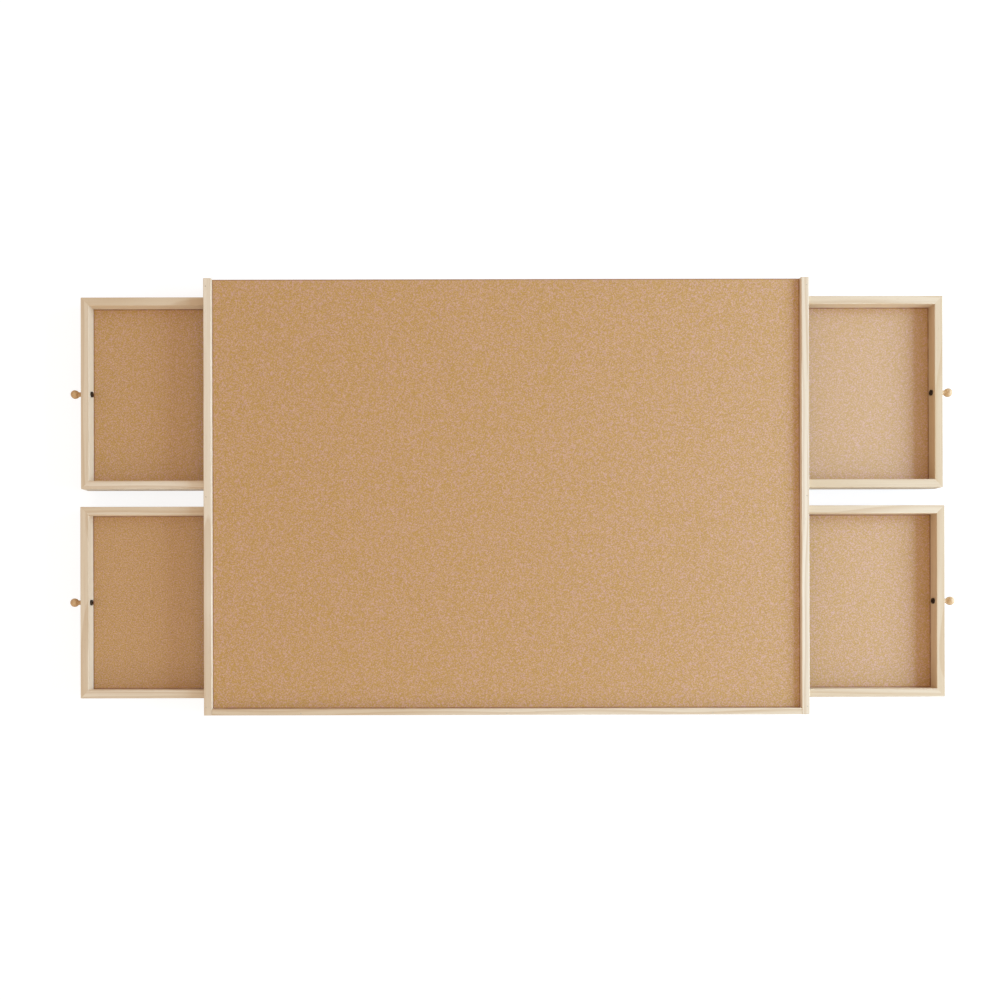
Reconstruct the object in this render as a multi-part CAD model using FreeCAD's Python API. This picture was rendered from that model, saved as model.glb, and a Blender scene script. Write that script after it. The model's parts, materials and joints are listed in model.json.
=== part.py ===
# Jigsaw board for a table top: a fibreboard work surface framed in pine, over four shallow drawers.
# The drawers run on ledged strips under the board, two out to the left and two out to the right.
# Millimetres. +X is to the right, +Y to the back and +Z up.
# The origin is on the table, under the board's centre.

import FreeCAD, Part
import math
import os

# Board as a whole
BOARD_WIDTH = 762.0
BOARD_DEPTH = 550.0

# Work surface, and the rim that laps over its left, right and front edges; the back edge is open
PANEL_THICKNESS = 3.2
PANEL_ROUNDING = 0.6
RIM_HEIGHT = 6.0
SIDE_RIM_WIDTH = 10.0
FRONT_RIM_WIDTH = 8.0
RIM_LAP = 4.0
RIM_ROUNDING = 1.0

# Frame under the work surface
OUTER_RAIL_WIDTH = 20.0
DIVIDER_WIDTH = 21.0
CROSS_RAIL_WIDTH = 18.0
RAIL_ROUNDING = 0.8
HALVING_GAP = 0.1

# Strips that carry the drawers
RUNNER_THICKNESS = 6.0
RUNNER_LEDGE = 12.0
RUNNER_ROUNDING = 0.8

# Drawers
DRAWER_HEIGHT = 22.0
DRAWER_WALL = 10.5
DRAWER_ROUNDING = 0.8
DRAWER_CORNER_ROUNDING = 1.0
DRAWER_SIDE_GAP = 0.8
DRAWER_LIFT = 0.3
DRAWER_HEADROOM = 0.9
DRAWER_STOP_GAP = 2.0
BOTTOM_THICKNESS = 3.2
BOTTOM_FIT_GAP = 0.2
BOTTOM_EDGE_GAP = 0.3
GROOVE_DEPTH = 4.0
GROOVE_RISE = 2.5

# How far each drawer stands out at rest
PULL_BACK_LEFT = 158.0
PULL_FRONT_LEFT = 159.0
PULL_BACK_RIGHT = 173.0
PULL_FRONT_RIGHT = 175.0

# Turned knob: a straight foot, a flared neck, a lip and a chamfered end
KNOB_LENGTH = 15.5
KNOB_FOOT_RADIUS = 3.3
KNOB_FOOT_LENGTH = 4.2
KNOB_HEAD_RADIUS = 5.5
KNOB_LIP_LENGTH = 3.2
KNOB_CHAMFER_LENGTH = 2.4
KNOB_END_RADIUS = 3.8
KNOB_HOLE_DEPTH = 10.4

# Screw that holds a knob from inside the drawer
KNOB_SCREW_RADIUS = 1.75
KNOB_SCREW_HEAD_RADIUS = 3.6
KNOB_SCREW_HEAD_HEIGHT = 1.8
KNOB_SCREW_END_GAP = 0.8
KNOB_SCREW_HOLE_GAP = 0.25
KNOB_THREAD_GAP = 0.05
RECESS_WIDTH = 0.9
RECESS_REACH = 2.0
RECESS_DEPTH = 1.1

# Headless brads of flat wire, with a chisel point
BRAD_WIDTH = 1.4
BRAD_THICKNESS = 1.1
BRAD_POINT = 1.6
BRAD_GAP = 0.05
RIM_BRAD_LENGTH = 20.0
RUNNER_BRAD_LENGTH = 16.0
CORNER_BRAD_LENGTH = 20.0
CORNER_BRAD_HEIGHT_SHARE = 0.62
FRONT_RIM_BRAD_SHARES = (-0.34, 0.0, 0.34)
RUNNER_BRAD_SHARES = (-0.42, -0.14, 0.14, 0.42)

# How far a cutting shape runs past what it cuts
OVERRUN = 5.0

# Levels, from the table up
RAIL_BOTTOM = RUNNER_THICKNESS
RAIL_TOP = RAIL_BOTTOM + DRAWER_LIFT + DRAWER_HEIGHT + DRAWER_HEADROOM
RAIL_MIDDLE = (RAIL_BOTTOM + RAIL_TOP) / 2
PANEL_TOP = RAIL_TOP + PANEL_THICKNESS
RIM_TOP = PANEL_TOP + RIM_HEIGHT
DRAWER_FLOOR = RUNNER_THICKNESS + DRAWER_LIFT

# Outer faces of the board, and the middles of its two outer rails
SIDE = BOARD_WIDTH / 2
BACK = BOARD_DEPTH / 2
FRONT = -BACK
BACK_RAIL_MIDDLE = BACK - OUTER_RAIL_WIDTH / 2
FRONT_RAIL_MIDDLE = -BACK_RAIL_MIDDLE

# What the rim's lip leaves of each strip to stand on the frame
SIDE_RIM_LEG = SIDE_RIM_WIDTH - RIM_LAP
FRONT_RIM_LEG = FRONT_RIM_WIDTH - RIM_LAP

# Room between the rails, and the drawer that it takes
BAY_WIDTH = BACK - OUTER_RAIL_WIDTH - DIVIDER_WIDTH / 2
BAY_MIDDLE = (DIVIDER_WIDTH + BAY_WIDTH) / 2
DRAWER_WIDTH = BAY_WIDTH - 2 * DRAWER_SIDE_GAP
DRAWER_LENGTH = SIDE - CROSS_RAIL_WIDTH / 2 - DRAWER_STOP_GAP
GROOVE_TOP = GROOVE_RISE + BOTTOM_THICKNESS + BOTTOM_FIT_GAP
KNOB_HEIGHT = (GROOVE_TOP + DRAWER_HEIGHT) / 2

UP = FreeCAD.Vector(0, 0, 1)
DOWN = FreeCAD.Vector(0, 0, -1)
OUTWARD = FreeCAD.Vector(1, 0, 0)
QUARTER_TURN = 90.0
HALF_TURN = 180.0
FULL_TURN = 360.0


def vector(x, y, z=0.0):
    return FreeCAD.Vector(x, y, z)


# Shapes that the pieces are made of

def block(x_span, y_span, z_span):
    """A box between a low and a high value on each axis."""
    low, high = zip(x_span, y_span, z_span)
    size = [b - a for a, b in zip(low, high)]
    return Part.makeBox(*size, vector(*low))


def rounded_face(corners, to_space):
    """A flat face from (u, v, rounding) corners, each eased by an arc of its own."""
    points = [vector(u, v) for u, v, rounding in corners]
    bends = []
    for i, (u, v, rounding) in enumerate(corners):
        here = points[i]
        to_last = (points[i - 1] - here).normalize()
        to_next = (points[(i + 1) % len(points)] - here).normalize()
        half_angle = to_last.getAngle(to_next) / 2
        reach = rounding / math.tan(half_angle)
        inward = (to_last + to_next).normalize() * (rounding / math.sin(half_angle) - rounding)
        bends.append((here + to_last * reach, here + inward, here + to_next * reach))
    edges = []
    for i, bend in enumerate(bends):
        enter, middle, leave = [to_space(point) for point in bend]
        edges.append(Part.makeLine(to_space(bends[i - 1][2]), enter))
        if corners[i][2] > 0:
            edges.append(Part.Arc(enter, middle, leave).toShape())
    return Part.Face(Part.Wire(edges))


def rail_along_x(section, x_low, x_high):
    """A straight rail with a (y, z) section."""
    face = rounded_face(section, lambda p: vector(x_low, p.x, p.y))
    return face.extrude(vector(x_high - x_low, 0))


def rail_along_y(section, y_low, y_high):
    """A straight rail with an (x, z) section."""
    face = rounded_face(section, lambda p: vector(p.x, y_low, p.y))
    return face.extrude(vector(0, y_high - y_low))


def eased_section(low, high, bottom, top, rounding):
    """A rectangle with all four corners eased alike."""
    return [(low, bottom, rounding), (high, bottom, rounding), (high, top, rounding), (low, top, rounding)]


def turned(points):
    """A solid turned about Z from the (radius, height) corners of its half section."""
    corners = [vector(radius, 0, height) for radius, height in points]
    return Part.Face(Part.makePolygon(corners + corners[:1])).revolve(vector(0, 0), UP, FULL_TURN)


def pointed(solid, point, direction):
    """A piece made along Z, moved to a point and laid along a direction."""
    moved = solid.copy()
    moved.Placement = FreeCAD.Placement(point, FreeCAD.Rotation(UP, direction))
    return moved


# Fasteners, each along Z from its driven end

def brad(length, gap=0.0):
    """A brad, or with a gap the slot that it sits in."""
    half = BRAD_WIDTH / 2 + gap
    depth = BRAD_THICKNESS / 2 + gap
    end = length + gap
    outline = [(-half, 0), (half, 0), (half, end - BRAD_POINT), (0, end), (-half, end - BRAD_POINT)]
    corners = [vector(x, -depth, z) for x, z in outline]
    return Part.Face(Part.makePolygon(corners + corners[:1])).extrude(vector(0, 2 * depth))


def knob_screw():
    """A flat-headed screw; the underside of its head is at the origin."""
    length = DRAWER_WALL + KNOB_HOLE_DEPTH - KNOB_SCREW_END_GAP
    top = -KNOB_SCREW_HEAD_HEIGHT
    body = turned([(0, top), (KNOB_SCREW_HEAD_RADIUS, top), (KNOB_SCREW_HEAD_RADIUS, 0),
                   (KNOB_SCREW_RADIUS, 0), (KNOB_SCREW_RADIUS, length), (0, length)])
    across = (-RECESS_WIDTH / 2, RECESS_WIDTH / 2)
    along = (-RECESS_REACH, RECESS_REACH)
    heights = (top - OVERRUN, top + RECESS_DEPTH)
    return body.cut(block(along, across, heights)).cut(block(across, along, heights))


def rim_brads(gap=0.0):
    """Brads down through the rim into the ends of the three long rails, and along the front rail."""
    side = SIDE - SIDE_RIM_LEG / 2
    front = FRONT + FRONT_RIM_LEG / 2
    places = [(x, y) for x in (-side, side) for y in (FRONT_RAIL_MIDDLE, 0, BACK_RAIL_MIDDLE)]
    places += [(share * BOARD_WIDTH, front) for share in FRONT_RIM_BRAD_SHARES]
    single = brad(RIM_BRAD_LENGTH, gap)
    return Part.makeCompound([pointed(single, vector(x, y, RIM_TOP), DOWN) for x, y in places])


def runner_brads(gap=0.0):
    """Brads up through the runners into the three long rails."""
    rows = (FRONT_RAIL_MIDDLE, 0, BACK_RAIL_MIDDLE)
    places = [vector(share * BOARD_WIDTH, y) for y in rows for share in RUNNER_BRAD_SHARES]
    single = brad(RUNNER_BRAD_LENGTH, gap)
    return Part.makeCompound([pointed(single, place, UP) for place in places])


# Work surface and rim

def panel_seat():
    """The room that the work surface takes between the rim strips."""
    half = SIDE - SIDE_RIM_LEG
    return block((-half, half), (FRONT + FRONT_RIM_LEG, BACK), (RAIL_TOP, PANEL_TOP))


def work_surface():
    half = SIDE - SIDE_RIM_LEG
    front = FRONT + FRONT_RIM_LEG
    section = [(front, RAIL_TOP, 0), (BACK, RAIL_TOP, PANEL_ROUNDING),
               (BACK, PANEL_TOP, PANEL_ROUNDING), (front, PANEL_TOP, 0)]
    return rail_along_x(section, -half, half)


def rim_section(outer, inner):
    return [(outer, RAIL_TOP, 0), (outer, RIM_TOP, RIM_ROUNDING),
            (inner, RIM_TOP, RIM_ROUNDING), (inner, RAIL_TOP, 0)]


def side_rim(side):
    """A strip along one side, rebated over the panel's end; side is -1 at the left and 1 at the right."""
    section = rim_section(side * SIDE, side * (SIDE - SIDE_RIM_WIDTH))
    return rail_along_y(section, FRONT, BACK).cut(panel_seat()).cut(rim_brads(BRAD_GAP))


def front_rim():
    """The front strip, butted between the two side strips and rebated over the panel's front edge."""
    half = SIDE - SIDE_RIM_WIDTH
    strip = rail_along_x(rim_section(FRONT, FRONT + FRONT_RIM_WIDTH), -half, half)
    return strip.cut(panel_seat()).cut(rim_brads(BRAD_GAP))


# Frame under the work surface

def long_rail(middle, width):
    """A rail from side to side under the panel, with the rim's and the runner's brads in it."""
    section = eased_section(middle - width / 2, middle + width / 2, RAIL_BOTTOM, RAIL_TOP, RAIL_ROUNDING)
    return rail_along_x(section, -SIDE, SIDE).cut(rim_brads(BRAD_GAP)).cut(runner_brads(BRAD_GAP))


def centre_divider():
    """The rail between the two rows of drawers, halved from above where the cross rail lies in it."""
    half = CROSS_RAIL_WIDTH / 2 + HALVING_GAP
    reach = DIVIDER_WIDTH / 2 + OVERRUN
    notch = block((-half, half), (-reach, reach), (RAIL_MIDDLE, RAIL_TOP + OVERRUN))
    return long_rail(0, DIVIDER_WIDTH).cut(notch)


def cross_rail():
    """The rail that stops the drawers, halved from below over the centre divider."""
    half = CROSS_RAIL_WIDTH / 2
    reach = BACK - OUTER_RAIL_WIDTH
    bar = block((-half, half), (-reach, reach), (RAIL_BOTTOM, RAIL_TOP))
    gap = DIVIDER_WIDTH / 2 + HALVING_GAP
    notch = block((-half - OVERRUN, half + OVERRUN), (-gap, gap), (RAIL_BOTTOM - OVERRUN, RAIL_MIDDLE))
    return bar.cut(notch)


def runner(y_low, y_high):
    """A strip under a rail, wide enough for its ledge to carry the drawers' sides."""
    section = eased_section(y_low, y_high, 0, RUNNER_THICKNESS, RUNNER_ROUNDING)
    return rail_along_x(section, -SIDE, SIDE).cut(runner_brads(BRAD_GAP))


def frame_pieces():
    outer_edge = BACK - OUTER_RAIL_WIDTH - RUNNER_LEDGE
    centre_edge = DIVIDER_WIDTH / 2 + RUNNER_LEDGE
    return {
        "work_surface": work_surface(),
        "left_rim": side_rim(-1),
        "right_rim": side_rim(1),
        "front_rim": front_rim(),
        "front_rail": long_rail(FRONT_RAIL_MIDDLE, OUTER_RAIL_WIDTH),
        "back_rail": long_rail(BACK_RAIL_MIDDLE, OUTER_RAIL_WIDTH),
        "centre_divider": centre_divider(),
        "cross_rail": cross_rail(),
        "front_runner": runner(FRONT, -outer_edge),
        "centre_runner": runner(-centre_edge, centre_edge),
        "back_runner": runner(outer_edge, BACK),
        "runner_brads": runner_brads(),
        "rim_brads": rim_brads(),
    }


# A drawer on its own: it opens along +X, its front face is at x = 0 and its underside at z = 0

def wall_plan(length):
    """Plan of a mitred wall: outer face on y = 0, eased outer corners, 45 degree ends."""
    easing = DRAWER_CORNER_ROUNDING
    inset = easing * (1 - math.sqrt(0.5))
    inner = DRAWER_WALL + OVERRUN
    eighth = math.radians(QUARTER_TURN / 4)
    bend = vector(easing * (1 - math.sin(eighth)), easing * (1 - math.cos(eighth)))
    far_bend = vector(length - bend.x, bend.y)
    start = vector(inset, inset)
    end = vector(length - inset, inset)
    first = vector(easing, 0)
    last = vector(length - easing, 0)
    inner_end = vector(length - inner, inner)
    inner_start = vector(inner, inner)
    edges = [Part.Arc(start, bend, first).toShape(), Part.makeLine(first, last),
             Part.Arc(last, far_bend, end).toShape(), Part.makeLine(end, inner_end),
             Part.makeLine(inner_end, inner_start), Part.makeLine(inner_start, start)]
    return Part.Face(Part.Wire(edges))


def drawer_wall(length):
    """A wall with eased upper edges, a groove for the bottom and a mitre at each end."""
    floor = DRAWER_WALL - GROOVE_DEPTH
    section = [(0, 0, 0), (DRAWER_WALL, 0, 0), (DRAWER_WALL, GROOVE_RISE, 0),
               (floor, GROOVE_RISE, 0), (floor, GROOVE_TOP, 0), (DRAWER_WALL, GROOVE_TOP, 0),
               (DRAWER_WALL, DRAWER_HEIGHT, DRAWER_ROUNDING), (0, DRAWER_HEIGHT, DRAWER_ROUNDING)]
    plan = wall_plan(length).extrude(vector(0, 0, DRAWER_HEIGHT))
    return rail_along_x(section, 0, length).common(plan)


def corner_brads(gap=0.0):
    """One brad through each mitre, driven from the drawer's two long sides."""
    half = DRAWER_WIDTH / 2
    height = DRAWER_HEIGHT * CORNER_BRAD_HEIGHT_SHARE
    ends = (-DRAWER_WALL / 2, DRAWER_WALL / 2 - DRAWER_LENGTH)
    single = brad(CORNER_BRAD_LENGTH, gap)
    return Part.makeCompound([pointed(single, vector(x, side * half, height), vector(0, -side))
                              for x in ends for side in (-1, 1)])


def drawer_walls():
    """The four walls, named as seen from above with the front to the right."""
    half = DRAWER_WIDTH / 2
    places = [("lower_side", DRAWER_LENGTH, vector(-DRAWER_LENGTH, -half)),
              ("front", DRAWER_WIDTH, vector(0, -half)),
              ("upper_side", DRAWER_LENGTH, vector(0, half)),
              ("back", DRAWER_WIDTH, vector(-DRAWER_LENGTH, half))]
    walls = {}
    for turns, (name, length, corner) in enumerate(places):
        wall = drawer_wall(length)
        wall.Placement = FreeCAD.Placement(corner, FreeCAD.Rotation(UP, turns * QUARTER_TURN))
        walls[name] = wall.cut(corner_brads(BRAD_GAP))
    screw_hole = Part.makeCylinder(KNOB_SCREW_RADIUS + KNOB_SCREW_HOLE_GAP, DRAWER_WALL + 2 * OVERRUN,
                                   vector(-DRAWER_WALL - OVERRUN, 0, KNOB_HEIGHT), OUTWARD)
    walls["front"] = walls["front"].cut(screw_hole)
    return walls


def drawer_bottom():
    inset = DRAWER_WALL - GROOVE_DEPTH + BOTTOM_EDGE_GAP
    half = DRAWER_WIDTH / 2 - inset
    heights = (GROOVE_RISE, GROOVE_RISE + BOTTOM_THICKNESS)
    return block((inset - DRAWER_LENGTH, -inset), (-half, half), heights)


def knob():
    """A turned knob, bored from its foot for the screw."""
    rim = KNOB_LENGTH - KNOB_CHAMFER_LENGTH
    bore = KNOB_SCREW_RADIUS + KNOB_THREAD_GAP
    return turned([(bore, 0), (KNOB_FOOT_RADIUS, 0), (KNOB_FOOT_RADIUS, KNOB_FOOT_LENGTH),
                   (KNOB_HEAD_RADIUS, rim - KNOB_LIP_LENGTH), (KNOB_HEAD_RADIUS, rim),
                   (KNOB_END_RADIUS, KNOB_LENGTH), (0, KNOB_LENGTH),
                   (0, KNOB_HOLE_DEPTH), (bore, KNOB_HOLE_DEPTH)])


def drawer_pieces():
    pieces = drawer_walls()
    pieces["bottom"] = drawer_bottom()
    pieces["knob"] = pointed(knob(), vector(0, 0, KNOB_HEIGHT), OUTWARD)
    pieces["knob_screw"] = pointed(knob_screw(), vector(-DRAWER_WALL, 0, KNOB_HEIGHT), OUTWARD)
    pieces["corner_brads"] = corner_brads()
    return pieces


def placed_drawer(name, row, side, pull):
    """A drawer in its bay; row is -1 in front and 1 at the back, side is -1 left and 1 right."""
    corner = vector(side * (SIDE + pull), row * BAY_MIDDLE, DRAWER_FLOOR)
    place = FreeCAD.Placement(corner, FreeCAD.Rotation(UP, 0 if side > 0 else HALF_TURN))
    world_names = {"lower_side": "near_side", "upper_side": "far_side"}
    if side < 0:
        world_names = {"lower_side": "far_side", "upper_side": "near_side"}
    placed = {}
    for piece, shape in drawer_pieces().items():
        moved = shape.copy()
        moved.Placement = place.multiply(moved.Placement)
        placed[name + "_" + world_names.get(piece, piece)] = moved
    return placed


def main():
    nodes = frame_pieces()
    nodes.update(placed_drawer("back_left_drawer", 1, -1, PULL_BACK_LEFT))
    nodes.update(placed_drawer("front_left_drawer", -1, -1, PULL_FRONT_LEFT))
    nodes.update(placed_drawer("back_right_drawer", 1, 1, PULL_BACK_RIGHT))
    nodes.update(placed_drawer("front_right_drawer", -1, 1, PULL_FRONT_RIGHT))
    os.makedirs("parts", exist_ok=True)
    for name, shape in nodes.items():
        shape.exportStep("parts/" + name + ".step")


main()
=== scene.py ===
import json
import math

import bmesh
import bpy
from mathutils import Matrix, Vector


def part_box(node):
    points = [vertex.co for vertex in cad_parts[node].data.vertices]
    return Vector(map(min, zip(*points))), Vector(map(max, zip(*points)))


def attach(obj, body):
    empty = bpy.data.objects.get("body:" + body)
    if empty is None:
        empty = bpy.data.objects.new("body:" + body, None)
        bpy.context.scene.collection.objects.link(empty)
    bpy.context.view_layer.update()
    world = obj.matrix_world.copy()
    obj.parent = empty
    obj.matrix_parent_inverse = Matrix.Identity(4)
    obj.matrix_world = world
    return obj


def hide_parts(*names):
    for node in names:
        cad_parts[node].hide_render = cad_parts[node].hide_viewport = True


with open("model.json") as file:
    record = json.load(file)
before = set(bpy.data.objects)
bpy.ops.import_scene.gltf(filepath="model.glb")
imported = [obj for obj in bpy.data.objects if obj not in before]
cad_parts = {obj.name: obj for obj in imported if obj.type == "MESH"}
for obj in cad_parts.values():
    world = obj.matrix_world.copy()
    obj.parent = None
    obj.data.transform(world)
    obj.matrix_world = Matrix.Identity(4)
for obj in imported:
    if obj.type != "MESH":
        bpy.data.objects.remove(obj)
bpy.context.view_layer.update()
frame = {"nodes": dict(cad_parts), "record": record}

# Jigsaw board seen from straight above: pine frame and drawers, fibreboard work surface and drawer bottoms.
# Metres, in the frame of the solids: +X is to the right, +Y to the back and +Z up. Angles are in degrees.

NODES = frame["nodes"]
SLOTS = {part["node"]: part["material_slot"] for part in frame["record"]["subparts"]}
BODIES = frame["record"]["behaviour"]["bodies"]
MM = 0.001
X, Z = 0, 2

# Camera: where it hangs, and the pixel of the photograph that is straight below it
PHOTO_PIXELS = 1000
CAMERA_PLACE = (-52.6 * MM, -130.9 * MM, 1267 * MM)
FOCAL_PIXELS = 977.2
PLUMB_PIXEL = (464.8, 600.4)
CAMERA_ROLL = -0.124
SENSOR_WIDTH = 36.0

# Light: a cool window to the right, a low fill from the front, and a warm sky that is brighter
# all round than overhead
WINDOW_PLACE = (2.2, 0.1, 0.9)
WINDOW_AIM = (0.25, 0.0, 0.0)
WINDOW_SIZE = (1.9, 1.0)
WINDOW_POWER = 75.0
WINDOW_COLOUR = (0.48, 0.735, 1.0)
FILL_PLACE = (-0.4, -3.0, 1.1)
FILL_AIM = (0.0, 0.0, 0.0)
FILL_SIZE = (3.0, 1.6)
FILL_POWER = 24.0
FILL_COLOUR = (0.85, 0.97, 1.0)
SKY_HORIZON = 1.05
SKY_ZENITH = 0.525
SKY_COLOUR = (1.0, 0.85, 0.745)

# Floor: half its side, its own shade, its roughness, and the light that makes it white to the camera
FLOOR_REACH = 12.0
FLOOR_SHADE = 0.25
FLOOR_ROUGHNESS = 0.9
FLOOR_GLOW = 0.84

# Colours, as 0 to 255 values
PINE_PALE = (239, 224, 200)
PINE_WARM = (209, 182, 144)
PINE_RING = (189, 150, 102)
PINE_FLECK = (150, 108, 66)
PINE_WORN = (182, 152, 112)
KNOB_PALE = (227, 196, 154)
KNOB_WARM = (206, 164, 113)
BOARD_TAN = (192, 144, 71)
BOARD_GLARE_WASH = (218, 191, 170)
BOARD_OCHRE = (182, 135, 22)
BOARD_ROSE = (206, 159, 148)
BOARD_FIBRE_DARK = (142, 98, 58)
BOARD_FIBRE_PALE = (222, 186, 140)
BOARD_CREASE_SHADE = (128, 66, 22)
SCREW_DARK = (38, 28, 22)
SCREW_WORN = (108, 92, 78)
BRAD_GREY = (205, 192, 170)
BRAD_RUST = (140, 112, 84)
WHITE = (1.0, 1.0, 1.0, 1.0)

# How warm the pieces of pine are, from pale to warm: partly the wood's own tone from piece to piece, partly
# painted light and shade, with pieces by the window on the right painted warmer and darker to take back its
# light and the left knobs painted darker as shade
USUAL_WARMTH = 0.5
PINE_WARMTH_AND_SHADE = {
    "left_rim": 0.1, "right_rim": 0.28, "front_rim": 0.45,
    "back_left_drawer_front": 0.6, "back_left_drawer_near_side": 0.1, "back_left_drawer_far_side": 0.6,
    "front_left_drawer_front": 0.4, "front_left_drawer_near_side": 0.22,
    "back_right_drawer_front": 0.85, "back_right_drawer_near_side": 0.7, "back_right_drawer_far_side": 0.75,
    "front_right_drawer_front": 0.85, "front_right_drawer_near_side": 0.53, "front_right_drawer_far_side": 0.68,
    "back_left_drawer_knob": 1.0, "front_left_drawer_knob": 1.0,
}
WARMTH_SPREAD = 0.4

# How much painted glare from the window, a pale wash, lies on some sheets of fibreboard
BOARD_PAINTED_GLARE = {"back_right_drawer_bottom": 0.1, "front_right_drawer_bottom": 0.02}

# Noise: the span that most of its values lie in, three kinds of it, and how far each seed shifts it, in features
NOISE_SPAN = (0.3, 0.7)
SMOOTH = {"detail": 1.0}
FINE = {"detail": 3.0, "roughness": 0.6}
SPECKLED = {"detail": 4.0, "roughness": 0.65}
SEED_SHARES = (7.3, 3.1, 5.7)
SEED_STEP = 11
BLUSH_SEED = 4
CLOUD_SEED = 9

# Below, a size is one length, or one along the grain and one across it; a span is the two values between which
# a mark fades in; a tint is the strength of its colour.

# Pine: growth rings about a heart line, fine streaks, short pores, dark end grain and worn edges
RING_PITCH = 3.4 * MM
RING_WANDER = 12 * MM
RING_DRIFT = (250 * MM, 70 * MM)
RING_RISE = (0.35, 0.9)
RING_FALL = (1.0, 0.93)
RING_TINT = 0.34
HEART_ASIDE = 21 * MM
HEART_BELOW = 34 * MM
HEART_SPREAD = 18 * MM
HEART_TURNS = (2.4, 1.7)
TONE_SIZE = (450 * MM, 38 * MM)
STREAK_SIZE = (110 * MM, 1.1 * MM)
STREAK_SPAN = (0.42, 0.75)
STREAK_TINT = 0.22
PORE_SIZE = (6.7 * MM, 0.38 * MM)
PORE_SPAN = (0.66, 0.78)
PORE_TINT = 0.28
PORE_DEPTH = 0.8
END_SPAN = (0.85, 0.98)
END_TINT = 0.45
WEAR_REACH = (0.2 * MM, 1.4 * MM)
WEAR_PATCH = 30 * MM
WEAR_SPAN = (0.35, 0.75)
WEAR_TINT = 0.4
PINE_ROUGHNESS = (0.46, 0.62)
PINE_RELIEF = 0.06 * MM
PINE_BUMP = 0.7

# Fibreboard: clouds, ochre and rose specks, short fibres lying every way, rough sawn edges, and a dark line
# where it meets the wood, which is painted shade standing in for the shadow in the crease
CLOUD_SIZE = 110 * MM
CLOUD_TINT = 0.16
SPECK_SIZE = 1.45 * MM
SPECK_SPAN = (0.46, 0.57)
SPECK_TINT = 0.90
BLUSH_SIZE = 1.55 * MM
BLUSH_SPAN = (0.48, 0.60)
BLUSH_TINT = 0.85
FIBRE_SIZE = (3.6 * MM, 0.32 * MM)
FIBRE_TURNS = (10, 55, 100, 145)
FIBRE_DARK_SPAN = (0.36, 0.26)
FIBRE_DARK_TINT = 0.55
FIBRE_PALE_SPAN = (0.66, 0.76)
FIBRE_PALE_TINT = 0.45
SAWN_SPAN = (0.6, 0.3)
SAWN_TINT = 0.5
CREASE_SHADE_REACH = (0.5 * MM, 1.8 * MM)
CREASE_SHADE_PATCH = 14 * MM
CREASE_SHADE_SPAN = (0.2, 0.6)
CREASE_SHADE_LEAST = 0.45
CREASE_SHADE_TINT = 0.85
BOARD_ROUGHNESS = (0.46, 0.58)
BOARD_SPECULAR = 0.7
BOARD_COAT = 0.6
BOARD_COAT_ROUGHNESS = 0.5
BOARD_RELIEF = 0.05 * MM
BOARD_BUMP = 0.6

# Steel: worn patches and scratches
PATCH_SIZE = 1.1 * MM
PATCH_SPAN = (0.45, 0.7)
SCRATCH_SIZE = (2 * MM, 0.17 * MM)
SCRATCH_SPAN = (0.35, 0.7)
SCRATCH_LEAST = 0.4
BRAD_METALLIC = 0.7
BRAD_ROUGHNESS = 0.5
SCREW_METALLIC = 0.8
SCREW_ROUGHNESS = 0.42
ROUGHNESS_SPREAD = 0.1
STEEL_RELIEF = 0.02 * MM
STEEL_BUMP = 0.5

# Knob: a ball on a waisted neck
KNOB_SIDES = 48
KNOB_STEPS = 40
NECK_WAIST_SHARE = 0.52
NECK_FOOT_SHARE = 0.66
NECK_LENGTH_SHARE = 0.46
BALL_SHARE = 0.335
BLEND_POWER = 5.0

# Eased edges of the sawn pieces
EDGE_EASING = 0.25 * MM
EDGE_STEPS = 2
EDGE_ANGLE = 35.0
WELD_REACH = 0.002 * MM


def linear(colour):
    """A 0 to 255 display colour as the linear RGBA that shaders take, by the sRGB curve."""
    shares = [value / 255 for value in colour]
    return tuple(s / 12.92 if s <= 0.04045 else ((s + 0.055) / 1.055) ** 2.4 for s in shares) + (1.0,)


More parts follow.
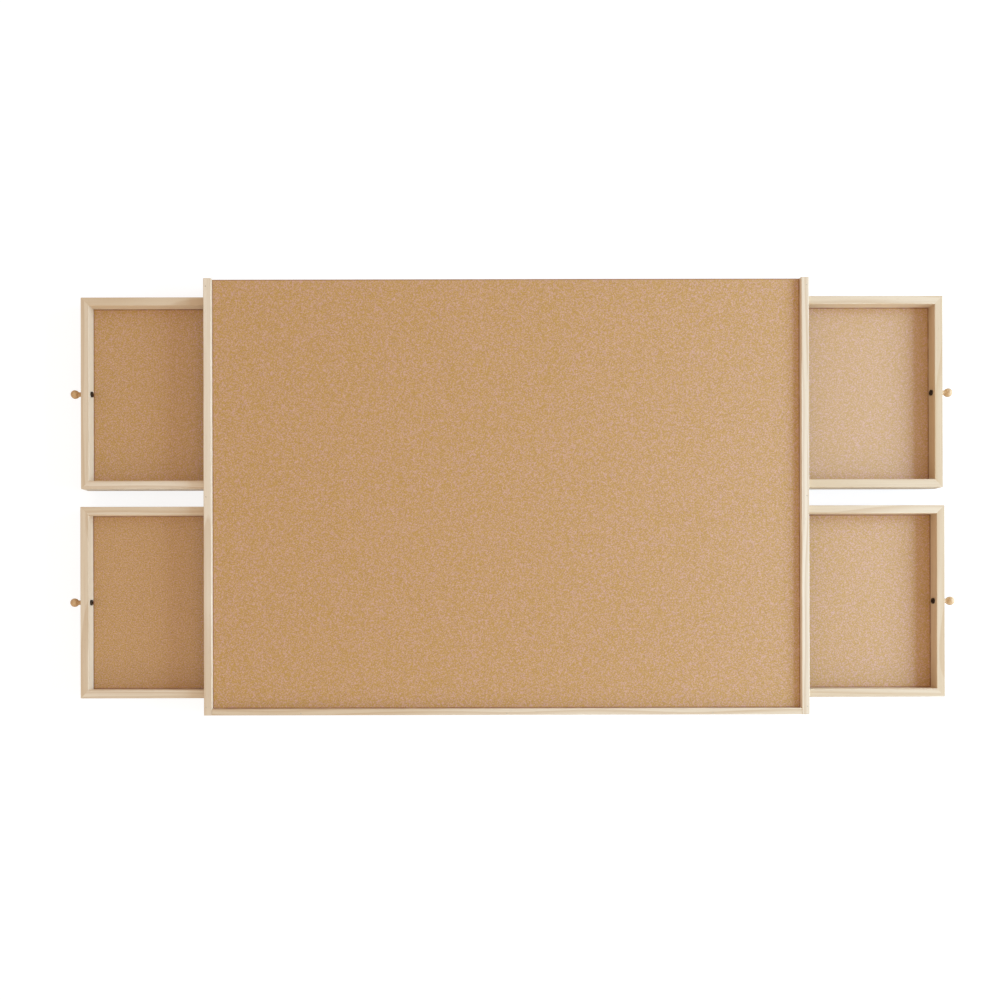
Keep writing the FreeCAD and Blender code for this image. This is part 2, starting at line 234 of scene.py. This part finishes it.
class Shader:
    """The node tree of a material or a world, with one short method for each kind of node."""

    def __init__(self, owner, surface="Principled BSDF"):
        owner.use_nodes = True
        self.tree = owner.node_tree
        self.surface = self.tree.nodes[surface]

    def add(self, kind, inputs=(), out=0, **settings):
        """A new node with its settings and inputs; gives one of its outputs."""
        node = self.tree.nodes.new(kind)
        for key, value in settings.items():
            setattr(node, key, value)
        for key, value in dict(inputs).items():
            self.put(node.inputs[key], value)
        return node.outputs[out]

    def put(self, socket, value):
        """Links a socket to an output, or sets it to a constant."""
        if isinstance(value, bpy.types.NodeSocket):
            self.tree.links.new(value, socket)
        else:
            socket.default_value = value

    def parts(self, out):
        """The three parts of a texture coordinate: a place or a normal, in the solids' frame."""
        node = self.tree.nodes.new("ShaderNodeSeparateXYZ")
        self.tree.links.new(self.add("ShaderNodeTexCoord", out=out), node.inputs[0])
        return list(node.outputs)

    def field(self, sizes, seed, turn=0.0, detail=2.0, roughness=0.5):
        """Noise from 0 to 1 with features of the given sizes along X, Y and Z, turned about Z."""
        shift = [size * seed * share for size, share in zip(sizes, SEED_SHARES)]
        inputs = {"Vector": self.add("ShaderNodeTexCoord", out="Object"), "Scale": sizes,
                  "Rotation": (0, 0, math.radians(turn)), "Location": shift}
        lane = self.add("ShaderNodeMapping", inputs, vector_type="TEXTURE")
        inputs = {"Vector": lane, "Scale": 1.0, "Detail": detail, "Roughness": roughness}
        return self.add("ShaderNodeTexNoise", inputs)

    def math(self, operation, a, b=0.0, c=0.0):
        return self.add("ShaderNodeMath", {0: a, 1: b, 2: c}, operation=operation)

    def fold(self, operation, values):
        """One operation taken along a list of values."""
        total = values[0]
        for value in values[1:]:
            total = self.math(operation, total, value)
        return total

    def ramp(self, value, low, high, to_low=0.0, to_high=1.0):
        """A smooth step between two values."""
        inputs = {"Value": value, "From Min": low, "From Max": high, "To Min": to_low, "To Max": to_high}
        return self.add("ShaderNodeMapRange", inputs, interpolation_type="SMOOTHSTEP")

    def mix(self, share, a, b):
        """A mix of two colours; a mix node numbers its factor 0, its colours 6 and 7, and their mix 2."""
        return self.add("ShaderNodeMix", {0: share, 6: a, 7: b}, out=2, data_type="RGBA")

    def tint(self, colour, mask, strength, over):
        """A colour laid over another where the mask is one."""
        return self.mix(self.math("MULTIPLY", mask, strength), colour, linear(over))

    def depths(self, low, high):
        """How far a place lies inside each pair of faces of a box."""
        spans = []
        for part, a, b in zip(self.parts("Object"), low, high):
            off_middle = self.math("ABSOLUTE", self.math("SUBTRACT", part, (a + b) / 2))
            spans.append(self.math("ABSOLUTE", self.math("SUBTRACT", (b - a) / 2, off_middle)))
        return spans

    def facing(self, axis):
        """One where the surface faces along an axis, either way."""
        return self.math("ABSOLUTE", self.parts("Normal")[axis])

    def seen(self):
        """One for the rays that show a background: those from the camera, gloss and glass."""
        path = self.tree.nodes.new("ShaderNodeLightPath").outputs
        return self.fold("MAXIMUM", [path["Is Camera Ray"], path["Is Glossy Ray"], path["Is Transmission Ray"]])

    def bump(self, height, depth, strength):
        inputs = {"Height": height, "Distance": depth, "Strength": strength}
        self.put(self.surface.inputs["Normal"], self.add("ShaderNodeBump", inputs))

    def set(self, **inputs):
        """Sets or links sockets of the surface, named with _ for a space."""
        for key, value in inputs.items():
            self.put(self.surface.inputs[key.replace("_", " ")], value)


# Materials

def pine(name, low, high, axis, seed, warmth_and_shade, pale=PINE_PALE, warm=PINE_WARM):
    """Pale sawn pine that fills a box, with its grain along the given axis."""
    material = bpy.data.materials.new(name)
    s = Shader(material)
    across = [i for i in range(3) if i != axis]

    def grain(size, **options):
        sizes = [size[1]] * 3
        sizes[axis] = size[0]
        return s.field(sizes, seed, **options)

    parts = s.parts("Object")
    middle = [(low[i] + high[i]) / 2 for i in across]
    aside = HEART_ASIDE * math.cos(HEART_TURNS[0] * seed)
    below = HEART_BELOW + HEART_SPREAD * math.sin(HEART_TURNS[1] * seed)
    heart = [middle[0] + aside, middle[1] - below]
    spans = [s.math("SUBTRACT", parts[i], h) for i, h in zip(across, heart)]
    radius = s.math("SQRT", s.fold("ADD", [s.math("MULTIPLY", span, span) for span in spans]))
    wander = s.math("MULTIPLY_ADD", grain(RING_DRIFT, **SMOOTH), RING_WANDER, radius)
    ring = s.math("FRACT", s.math("DIVIDE", wander, RING_PITCH))
    late = s.math("MULTIPLY", s.ramp(ring, *RING_RISE), s.ramp(ring, *RING_FALL))
    tone = grain(TONE_SIZE)
    streak = grain(STREAK_SIZE, **FINE)
    pores = s.ramp(grain(PORE_SIZE, **SMOOTH), *PORE_SPAN)
    end = s.ramp(s.facing(axis), *END_SPAN)
    a, b, c = s.depths(low, high)
    edge = s.math("MAXIMUM", s.math("MINIMUM", a, b), s.math("MINIMUM", s.math("MAXIMUM", a, b), c))
    patches = s.ramp(s.field((WEAR_PATCH,) * 3, seed), *WEAR_SPAN)
    wear = s.math("MULTIPLY", s.ramp(edge, *WEAR_REACH, 1.0, 0.0), patches)

    share = s.ramp(tone, *NOISE_SPAN, warmth_and_shade - WARMTH_SPREAD / 2, warmth_and_shade + WARMTH_SPREAD / 2)
    colour = s.mix(share, linear(pale), linear(warm))
    colour = s.tint(colour, late, RING_TINT, PINE_RING)
    colour = s.tint(colour, s.ramp(streak, *STREAK_SPAN), STREAK_TINT, PINE_RING)
    colour = s.tint(colour, pores, PORE_TINT, PINE_FLECK)
    colour = s.tint(colour, end, END_TINT, PINE_RING)
    colour = s.tint(colour, wear, WEAR_TINT, PINE_WORN)
    s.set(Base_Color=colour, Roughness=s.ramp(streak, *NOISE_SPAN, *PINE_ROUGHNESS))
    s.bump(s.math("SUBTRACT", streak, s.math("MULTIPLY", pores, PORE_DEPTH)), PINE_RELIEF, PINE_BUMP)
    return material


def fibreboard(name, inner_low, inner_high, seed, painted_glare):
    """Smooth brown fibreboard, with a dark line of painted shade along the border of the part that shows between
    the wood.
    """
    material = bpy.data.materials.new(name)
    s = Shader(material)
    speck = s.field((SPECK_SIZE,) * 3, seed, **SPECKLED)
    blush = s.field((BLUSH_SIZE,) * 3, seed + BLUSH_SEED, **SPECKLED)
    cloud = s.field((CLOUD_SIZE,) * 3, seed + CLOUD_SEED, detail=3.0)
    length, thickness = FIBRE_SIZE
    fibres = [s.field((length, thickness, thickness), seed, turn, **SMOOTH) for turn in FIBRE_TURNS]
    dark = s.ramp(s.fold("MINIMUM", fibres), *FIBRE_DARK_SPAN)
    light = s.ramp(s.fold("MAXIMUM", fibres), *FIBRE_PALE_SPAN)
    border = s.fold("MINIMUM", s.depths(inner_low, inner_high)[:2])
    # Painted shade: a dark line along the foot of the wood, in the crease where it meets the fibreboard
    patches = s.ramp(s.field((CREASE_SHADE_PATCH,) * 3, seed), *CREASE_SHADE_SPAN, CREASE_SHADE_LEAST, 1.0)
    crease_shade = s.math("MULTIPLY", s.ramp(border, *CREASE_SHADE_REACH, 1.0, 0.0), patches)
    sawn = s.ramp(s.facing(Z), *SAWN_SPAN)

    colour = s.tint(linear(BOARD_TAN), s.ramp(cloud, *NOISE_SPAN), CLOUD_TINT, BOARD_OCHRE)
    colour = s.tint(colour, s.ramp(speck, *SPECK_SPAN), SPECK_TINT, BOARD_OCHRE)
    colour = s.tint(colour, s.ramp(blush, *BLUSH_SPAN), BLUSH_TINT, BOARD_ROSE)
    colour = s.tint(colour, dark, FIBRE_DARK_TINT, BOARD_FIBRE_DARK)
    colour = s.tint(colour, light, FIBRE_PALE_TINT, BOARD_FIBRE_PALE)
    # Painted glare: a pale wash on the drawer bottoms nearest the window stands in for its reflection
    colour = s.mix(painted_glare, colour, linear(BOARD_GLARE_WASH))
    colour = s.tint(colour, sawn, SAWN_TINT, BOARD_FIBRE_DARK)
    # The painted shade in the crease is laid on last
    colour = s.tint(colour, crease_shade, CREASE_SHADE_TINT, BOARD_CREASE_SHADE)
    s.set(Base_Color=colour, Roughness=s.ramp(speck, *NOISE_SPAN, *BOARD_ROUGHNESS))
    s.set(Specular_IOR_Level=BOARD_SPECULAR, Coat_Weight=BOARD_COAT, Coat_Roughness=BOARD_COAT_ROUGHNESS)
    s.bump(s.math("ADD", speck, s.math("SUBTRACT", light, dark)), BOARD_RELIEF, BOARD_BUMP)
    return material


def metal(name, colour, worn, metallic, roughness):
    """Plain steel wire or a blackened screw, with worn patches and fine scratches."""
    material = bpy.data.materials.new(name)
    s = Shader(material)
    patch = s.field((PATCH_SIZE,) * 3, 0, **FINE)
    length, thickness = SCRATCH_SIZE
    scratch = s.field((thickness, length, length), 0, **SMOOTH)
    wear = s.math("MULTIPLY", s.ramp(patch, *PATCH_SPAN), s.ramp(scratch, *SCRATCH_SPAN, SCRATCH_LEAST, 1.0))
    rough = s.ramp(patch, *NOISE_SPAN, roughness - ROUGHNESS_SPREAD, roughness + ROUGHNESS_SPREAD)
    s.set(Base_Color=s.tint(linear(colour), wear, 1.0, worn), Metallic=metallic, Roughness=rough)
    s.bump(scratch, STEEL_RELIEF, STEEL_BUMP)
    return material


# Pieces

def ease_edges(node):
    """Joins the split vertices of a solid's mesh and takes off its sharp edges."""
    weld = node.modifiers.new("weld", "WELD")
    weld.merge_threshold = WELD_REACH
    bevel = node.modifiers.new("ease", "BEVEL")
    bevel.width = EDGE_EASING
    bevel.segments = EDGE_STEPS
    bevel.limit_method = "ANGLE"
    bevel.angle_limit = math.radians(EDGE_ANGLE)


def dress(node, material):
    """Gives an object one material in the place of those that it has."""
    node.data.materials.clear()
    node.data.materials.append(material)


def knob_profile(length, radius):
    """(distance from the foot, radius) stations of a knob: a waisted neck run into a ball."""
    neck_end = length * NECK_LENGTH_SHARE
    half = length * BALL_SHARE
    centre = length - half
    stations = []
    for i in range(KNOB_STEPS + 1):
        x = length * i / KNOB_STEPS
        swell = (2 * min(x, neck_end) / neck_end - 1) ** 2
        neck = radius * (NECK_WAIST_SHARE + (NECK_FOOT_SHARE - NECK_WAIST_SHARE) * swell)
        if x > neck_end:
            neck *= max(0.0, 1 - (x - neck_end) / half)
        offset = (x - centre) / half
        ball = radius * math.sqrt(max(0.0, 1 - offset * offset))
        stations.append((x, (neck ** BLEND_POWER + ball ** BLEND_POWER) ** (1 / BLEND_POWER)))
    return stations


def turned_knob(name, node, body):
    """A smooth turned knob in the place of a drawer's plain one."""
    low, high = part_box(node)
    side = 1 if low.x > 0 else -1
    foot = low.x if side > 0 else high.x
    middle = (low + high) / 2
    turns = [2 * math.pi * k / KNOB_SIDES for k in range(KNOB_SIDES)]
    shape = bmesh.new()
    rings = []
    for x, r in knob_profile(high.x - low.x, (high.y - low.y) / 2):
        places = [(foot + side * x, middle.y + r * math.cos(t), middle.z + r * math.sin(t)) for t in turns]
        rings.append([shape.verts.new(place) for place in places])
    for a, b in zip(rings, rings[1:]):
        for k in range(KNOB_SIDES):
            n = (k + 1) % KNOB_SIDES
            shape.faces.new((a[k], a[n], b[n], b[k])).smooth = True
    shape.faces.new(rings[0])
    bmesh.ops.remove_doubles(shape, verts=shape.verts, dist=WELD_REACH)
    bmesh.ops.recalc_face_normals(shape, faces=shape.faces)
    mesh = bpy.data.meshes.new(name)
    shape.to_mesh(mesh)
    shape.free()
    knob = bpy.data.objects.new(name, mesh)
    bpy.context.scene.collection.objects.link(knob)
    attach(knob, body)
    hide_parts(node)
    return knob


def shown_area(name, body):
    """Corners of the part of a fibreboard piece that shows between the pieces of wood round it."""
    low, high = [corner.copy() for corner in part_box(name)]
    if body == "board":
        low.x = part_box("left_rim")[1].x
        high.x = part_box("right_rim")[0].x
        low.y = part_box("front_rim")[1].y
        return low, high
    ends = sorted([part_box(body + "_front"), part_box(body + "_back")], key=lambda box: box[0].x)
    low.x, high.x = ends[0][1].x, ends[1][0].x
    sides = sorted([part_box(body + "_near_side"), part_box(body + "_far_side")], key=lambda box: box[0].y)
    low.y, high.y = sides[0][1].y, sides[1][0].y
    return low, high


def dress_pieces():
    """Gives every piece its material, and the drawers their turned knobs."""
    brads = metal("brad_steel", BRAD_GREY, BRAD_RUST, BRAD_METALLIC, BRAD_ROUGHNESS)
    screws = metal("blackened_screw", SCREW_DARK, SCREW_WORN, SCREW_METALLIC, SCREW_ROUGHNESS)
    for group, (body, names) in enumerate(BODIES.items()):
        for number, name in enumerate(names):
            node = NODES[name]
            seed = 1 + SEED_STEP * group + number
            low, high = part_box(name)
            # A piece's warmth is partly its own tone and partly painted shade, darker for pieces by the window
            # and for the left knobs
            warmth_and_shade = PINE_WARMTH_AND_SHADE.get(name, USUAL_WARMTH)
            if SLOTS[name] == "fibreboard":
                painted_glare = BOARD_PAINTED_GLARE.get(name, 0.0)
                dress(node, fibreboard(name + "_fibreboard", *shown_area(name, body), seed, painted_glare))
            elif SLOTS[name] == "pine":
                grain = max(range(3), key=lambda i: high[i] - low[i])
                dress(node, pine(name + "_pine", low, high, grain, seed, warmth_and_shade))
                ease_edges(node)
            elif SLOTS[name] == "turned_wood":
                knob = turned_knob(name.replace("_knob", "_turned_knob"), name, body)
                dress(knob, pine(name + "_wood", low, high, X, seed, warmth_and_shade, KNOB_PALE, KNOB_WARM))
            else:
                dress(node, screws if name.endswith("screw") else brads)


# Surroundings

def floor():
    """A pale floor that is white to the camera and keeps the board's shadow."""
    mesh = bpy.data.meshes.new("floor")
    r = FLOOR_REACH
    mesh.from_pydata([(-r, -r, 0), (r, -r, 0), (r, r, 0), (-r, r, 0)], [], [(0, 1, 2, 3)])
    plane = bpy.data.objects.new("floor", mesh)
    bpy.context.scene.collection.objects.link(plane)
    material = bpy.data.materials.new("floor")
    s = Shader(material)
    s.set(Base_Color=(FLOOR_SHADE,) * 3 + (1.0,), Roughness=FLOOR_ROUGHNESS)
    s.set(Emission_Color=WHITE, Emission_Strength=s.math("MULTIPLY", s.seen(), FLOOR_GLOW))
    dress(plane, material)


def sky():
    """Light from all round, brighter low down than overhead; where the sky itself is seen, it is plain white."""
    world = bpy.data.worlds.new("sky")
    bpy.context.scene.world = world
    s = Shader(world, "Background")
    low, high = [tuple(strength * c for c in SKY_COLOUR) + (1.0,) for strength in (SKY_HORIZON, SKY_ZENITH)]
    light = s.mix(s.parts("Generated")[Z], low, high)
    s.set(Color=s.mix(s.seen(), light, WHITE))


def lamp(name, place, aim, size, power, colour):
    """A rectangular panel of light that faces a point."""
    light = bpy.data.lights.new(name, "AREA")
    light.shape = "RECTANGLE"
    light.size, light.size_y = size
    light.energy = power
    light.color = colour
    panel = bpy.data.objects.new(name, light)
    panel.location = place
    panel.rotation_euler = (Vector(aim) - Vector(place)).to_track_quat("-Z", "Y").to_euler()
    bpy.context.scene.collection.objects.link(panel)


def camera():
    """A camera that looks straight down, shifted so that its plumb point lies where the photograph has it."""
    data = bpy.data.cameras.new("camera")
    data.sensor_width = SENSOR_WIDTH
    data.lens = SENSOR_WIDTH * FOCAL_PIXELS / PHOTO_PIXELS
    data.shift_x = 0.5 - PLUMB_PIXEL[0] / PHOTO_PIXELS
    data.shift_y = PLUMB_PIXEL[1] / PHOTO_PIXELS - 0.5
    view = bpy.data.objects.new("camera", data)
    view.location = CAMERA_PLACE
    view.rotation_euler = (0, 0, math.radians(CAMERA_ROLL))
    bpy.context.scene.collection.objects.link(view)
    bpy.context.scene.camera = view


dress_pieces()
floor()
sky()
lamp("window", WINDOW_PLACE, WINDOW_AIM, WINDOW_SIZE, WINDOW_POWER, WINDOW_COLOUR)
lamp("fill", FILL_PLACE, FILL_AIM, FILL_SIZE, FILL_POWER, FILL_COLOUR)
camera()
bpy.context.scene.view_settings.view_transform = "Standard"
